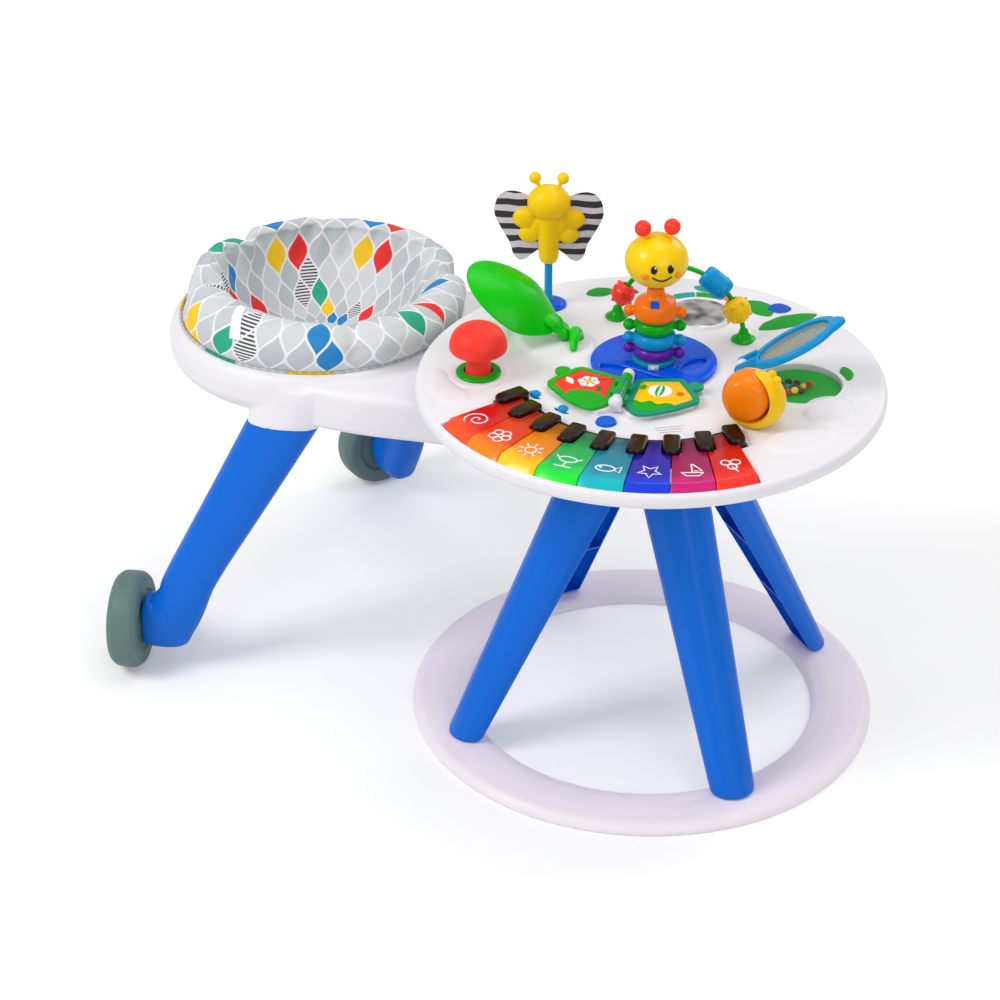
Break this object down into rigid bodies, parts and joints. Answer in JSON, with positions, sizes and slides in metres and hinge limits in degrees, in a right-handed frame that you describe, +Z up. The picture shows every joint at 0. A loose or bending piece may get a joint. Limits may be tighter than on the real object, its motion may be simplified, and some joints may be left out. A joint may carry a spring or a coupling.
{
  "type": "baby activity center",
  "caption": "Round toy table on four legs and a ring base, with a wheeled padded seat whose arm walks round the table; keyboard, spinners, bead arch, book, flaps and press toys.",
  "frame": {"origin": "on the floor under the middle of the bounding box", "axes": "+Z up; the seat's arm runs from the table's hub along -X to the seat"},
  "size_m": [1.0179, 0.7164, 0.683],
  "materials": {
    "white_plastic": "satin",
    "ring_white": "satin",
    "leg_blue": "satin",
    "wheel_grey": "moulded",
    "steel": "brushed",
    "dark_keys": "gloss",
    "door_grey": "moulded",
    "button_blue": "gloss",
    "cyan": "gloss",
    "green": "gloss",
    "red": "soft",
    "mirror": "polished",
    "clear": "clear",
    "leaf_green": "gloss",
    "plate_blue": "gloss",
    "yellow": "gloss",
    "wing_cloth": "woven",
    "teal": "gloss",
    "purple": "gloss",
    "orange": "gloss",
    "snail_orange": "gloss",
    "page_green": "satin",
    "page_teal": "satin",
    "window_green": "satin",
    "seat_fabric": "padded cloth",
    "key_1": "clear gloss",
    "key_2": "clear gloss",
    "key_3": "clear gloss",
    "key_4": "clear gloss",
    "key_5": "clear gloss",
    "key_6": "clear gloss",
    "key_7": "clear gloss",
    "key_8": "clear gloss"
  },
  "bodies": {
    "table": {"base_ring": "ring_white", "leg_back_right": "leg_blue", "leg_back_left": "leg_blue", "leg_front_left": "leg_blue", "leg_front_right": "leg_blue", "hub": "white_plastic", "table_top": "white_plastic", "black_keys": "dark_keys", "sound_box": "white_plastic", "battery_door": "door_grey", "mushroom_collar": "green", "mirror": "mirror", "window_plate": "window_green", "window_dome": "clear", "leaf_stalk": "leaf_green", "stem_base": "plate_blue", "butterfly_stem": "cyan", "spinner_plate": "plate_blue", "tower_post": "teal", "bead_arch": "green", "snail_body": "yellow", "book_base": "white_plastic", "book_pin": "steel"},
    "walker": {"walker_shell": "white_plastic", "walker_leg_left": "leg_blue", "walker_leg_right": "leg_blue", "wheel_axle_left": "steel", "wheel_axle_right": "steel"},
    "wheel_left": {"wheel_left": "wheel_grey"},
    "wheel_right": {"wheel_right": "wheel_grey"},
    "seat": {"seat_ring": "white_plastic", "seat_pad": "seat_fabric"},
    "key_1": {"key_1": "key_1"},
    "key_2": {"key_2": "key_2"},
    "key_3": {"key_3": "key_3"},
    "key_4": {"key_4": "key_4"},
    "key_5": {"key_5": "key_5"},
    "key_6": {"key_6": "key_6"},
    "key_7": {"key_7": "key_7"},
    "key_8": {"key_8": "key_8"},
    "play_button": {"play_button": "button_blue"},
    "volume_slider": {"volume_slider": "cyan"},
    "mode_slider": {"mode_slider": "cyan"},
    "mushroom": {"mushroom": "red"},
    "snail_shell": {"snail_shell": "snail_orange"},
    "leaf": {"leaf_flap": "leaf_green"},
    "magnifier": {"magnifier_frame": "cyan", "magnifier_lens": "clear"},
    "butterfly": {"butterfly": "yellow", "butterfly_wings": "wing_cloth"},
    "ring_purple": {"ring_purple": "purple"},
    "ring_cyan": {"ring_cyan": "cyan"},
    "ring_green": {"ring_green": "green"},
    "ring_orange": {"ring_orange": "orange"},
    "head": {"bug_head": "yellow"},
    "bead_red": {"bead_red": "red"},
    "bead_yellow": {"bead_yellow": "yellow"},
    "bead_blue": {"bead_blue": "cyan"},
    "book_left": {"book_page_left": "page_green"},
    "book_right": {"book_page_right": "page_teal"}
  },
  "joints": [
    {"name": "walker_turn", "type": "hinge", "parent": "table", "child": "walker", "pos_m": [0.204, 0, 0.405], "axis": [0, 0, 1], "continuous": true},
    {"name": "wheel_left_spin", "type": "hinge", "parent": "walker", "child": "wheel_left", "pos_m": [-0.42588, 0.29372, 0.0658], "axis": [-0.9063, 0.4226, 0], "continuous": true},
    {"name": "wheel_right_spin", "type": "hinge", "parent": "walker", "child": "wheel_right", "pos_m": [-0.42588, -0.29372, 0.0658], "axis": [-0.9063, -0.4226, 0], "continuous": true},
    {"name": "seat_swivel", "type": "hinge", "parent": "walker", "child": "seat", "pos_m": [-0.304, 0, 0.436], "axis": [0, 0, 1], "continuous": true},
    {"name": "key_1_press", "type": "slide", "parent": "table", "child": "key_1", "axis": [0, 0, -1], "range_m": [0, 0.0025], "stiffness_N_per_m": 1600, "springref_m": -0.0012},
    {"name": "key_2_press", "type": "slide", "parent": "table", "child": "key_2", "axis": [0, 0, -1], "range_m": [0, 0.0025], "stiffness_N_per_m": 1600, "springref_m": -0.0012},
    {"name": "key_3_press", "type": "slide", "parent": "table", "child": "key_3", "axis": [0, 0, -1], "range_m": [0, 0.0025], "stiffness_N_per_m": 1600, "springref_m": -0.0012},
    {"name": "key_4_press", "type": "slide", "parent": "table", "child": "key_4", "axis": [0, 0, -1], "range_m": [0, 0.0025], "stiffness_N_per_m": 1600, "springref_m": -0.0012},
    {"name": "key_5_press", "type": "slide", "parent": "table", "child": "key_5", "axis": [0, 0, -1], "range_m": [0, 0.0025], "stiffness_N_per_m": 1600, "springref_m": -0.0012},
    {"name": "key_6_press", "type": "slide", "parent": "table", "child": "key_6", "axis": [0, 0, -1], "range_m": [0, 0.0025], "stiffness_N_per_m": 1600, "springref_m": -0.0012},
    {"name": "key_7_press", "type": "slide", "parent": "table", "child": "key_7", "axis": [0, 0, -1], "range_m": [0, 0.0025], "stiffness_N_per_m": 1600, "springref_m": -0.0012},
    {"name": "key_8_press", "type": "slide", "parent": "table", "child": "key_8", "axis": [0, 0, -1], "range_m": [0, 0.0025], "stiffness_N_per_m": 1600, "springref_m": -0.0012},
    {"name": "play_button_press", "type": "slide", "parent": "table", "child": "play_button", "axis": [0, 0, -1], "range_m": [0, 0.0025], "stiffness_N_per_m": 300, "springref_m": -0.001},
    {"name": "volume_slide", "type": "slide", "parent": "table", "child": "volume_slider", "axis": [0.848, -0.5299, 0], "range_m": [-0.005, 0.005]},
    {"name": "mode_slide", "type": "slide", "parent": "table", "child": "mode_slider", "axis": [0.9703, -0.2419, 0], "range_m": [-0.005, 0.005]},
    {"name": "mushroom_press", "type": "slide", "parent": "table", "child": "mushroom", "axis": [0, 0, -1], "range_m": [0, 0.01], "stiffness_N_per_m": 700, "springref_m": -0.004},
    {"name": "leaf_hinge", "type": "hinge", "parent": "table", "child": "leaf", "pos_m": [0.05889, 0.02823, 0.496], "axis": [-0.4909, 0.8712, 0], "range_deg": [-24, 4]},
    {"name": "magnifier_hinge", "type": "hinge", "parent": "table", "child": "magnifier", "pos_m": [0.30011, 0.05959, 0.499], "axis": [0.3256, -0.9455, 0], "range_deg": [-30, 20]},
    {"name": "butterfly_spin", "type": "hinge", "parent": "table", "child": "butterfly", "pos_m": [-0.01029, 0.10387, 0.552], "axis": [0, 0, 1], "continuous": true},
    {"name": "ring_purple_spin", "type": "hinge", "parent": "table", "child": "ring_purple", "pos_m": [0.19039, 0.03111, 0.505], "axis": [0, 0, 1], "continuous": true},
    {"name": "ring_cyan_spin", "type": "hinge", "parent": "table", "child": "ring_cyan", "pos_m": [0.19039, 0.03111, 0.523], "axis": [0, 0, 1], "continuous": true},
    {"name": "ring_green_spin", "type": "hinge", "parent": "table", "child": "ring_green", "pos_m": [0.19039, 0.03111, 0.541], "axis": [0, 0, 1], "continuous": true},
    {"name": "ring_orange_spin", "type": "hinge", "parent": "table", "child": "ring_orange", "pos_m": [0.19039, 0.03111, 0.572], "axis": [0, 0, 1], "continuous": true},
    {"name": "head_spin", "type": "hinge", "parent": "table", "child": "head", "pos_m": [0.19039, 0.03111, 0.629], "axis": [0, 0, 1], "continuous": true},
    {"name": "bead_red_spin", "type": "hinge", "parent": "table", "child": "bead_red", "pos_m": [0.09202, 0.12241, 0.51933], "axis": [-0.3848, -0.0678, -0.9205], "continuous": true},
    {"name": "bead_yellow_spin", "type": "hinge", "parent": "table", "child": "bead_yellow", "pos_m": [0.24403, 0.14922, 0.52464], "axis": [-0.4471, -0.0788, 0.891], "continuous": true},
    {"name": "bead_blue_slide", "type": "hinge", "parent": "table", "child": "bead_blue", "pos_m": [0.16935, 0.13605, 0.486], "axis": [0.1736, -0.9848, 0], "range_deg": [-2, 68]},
    {"name": "snail_shell_spin", "type": "hinge", "parent": "table", "child": "snail_shell", "pos_m": [0.3605, -0.04055, 0.525], "axis": [-0.309, 0.9511, 0], "continuous": true},
    {"name": "book_left_turn", "type": "hinge", "parent": "table", "child": "book_left", "pos_m": [0.20518, -0.0729, 0.50185], "axis": [-0.3057, 0.9521, 0], "range_deg": [0, 172]},
    {"name": "book_right_turn", "type": "hinge", "parent": "table", "child": "book_right", "pos_m": [0.20518, -0.0729, 0.50185], "axis": [-0.3057, 0.9521, 0], "range_deg": [-172, 0]}
  ]
}
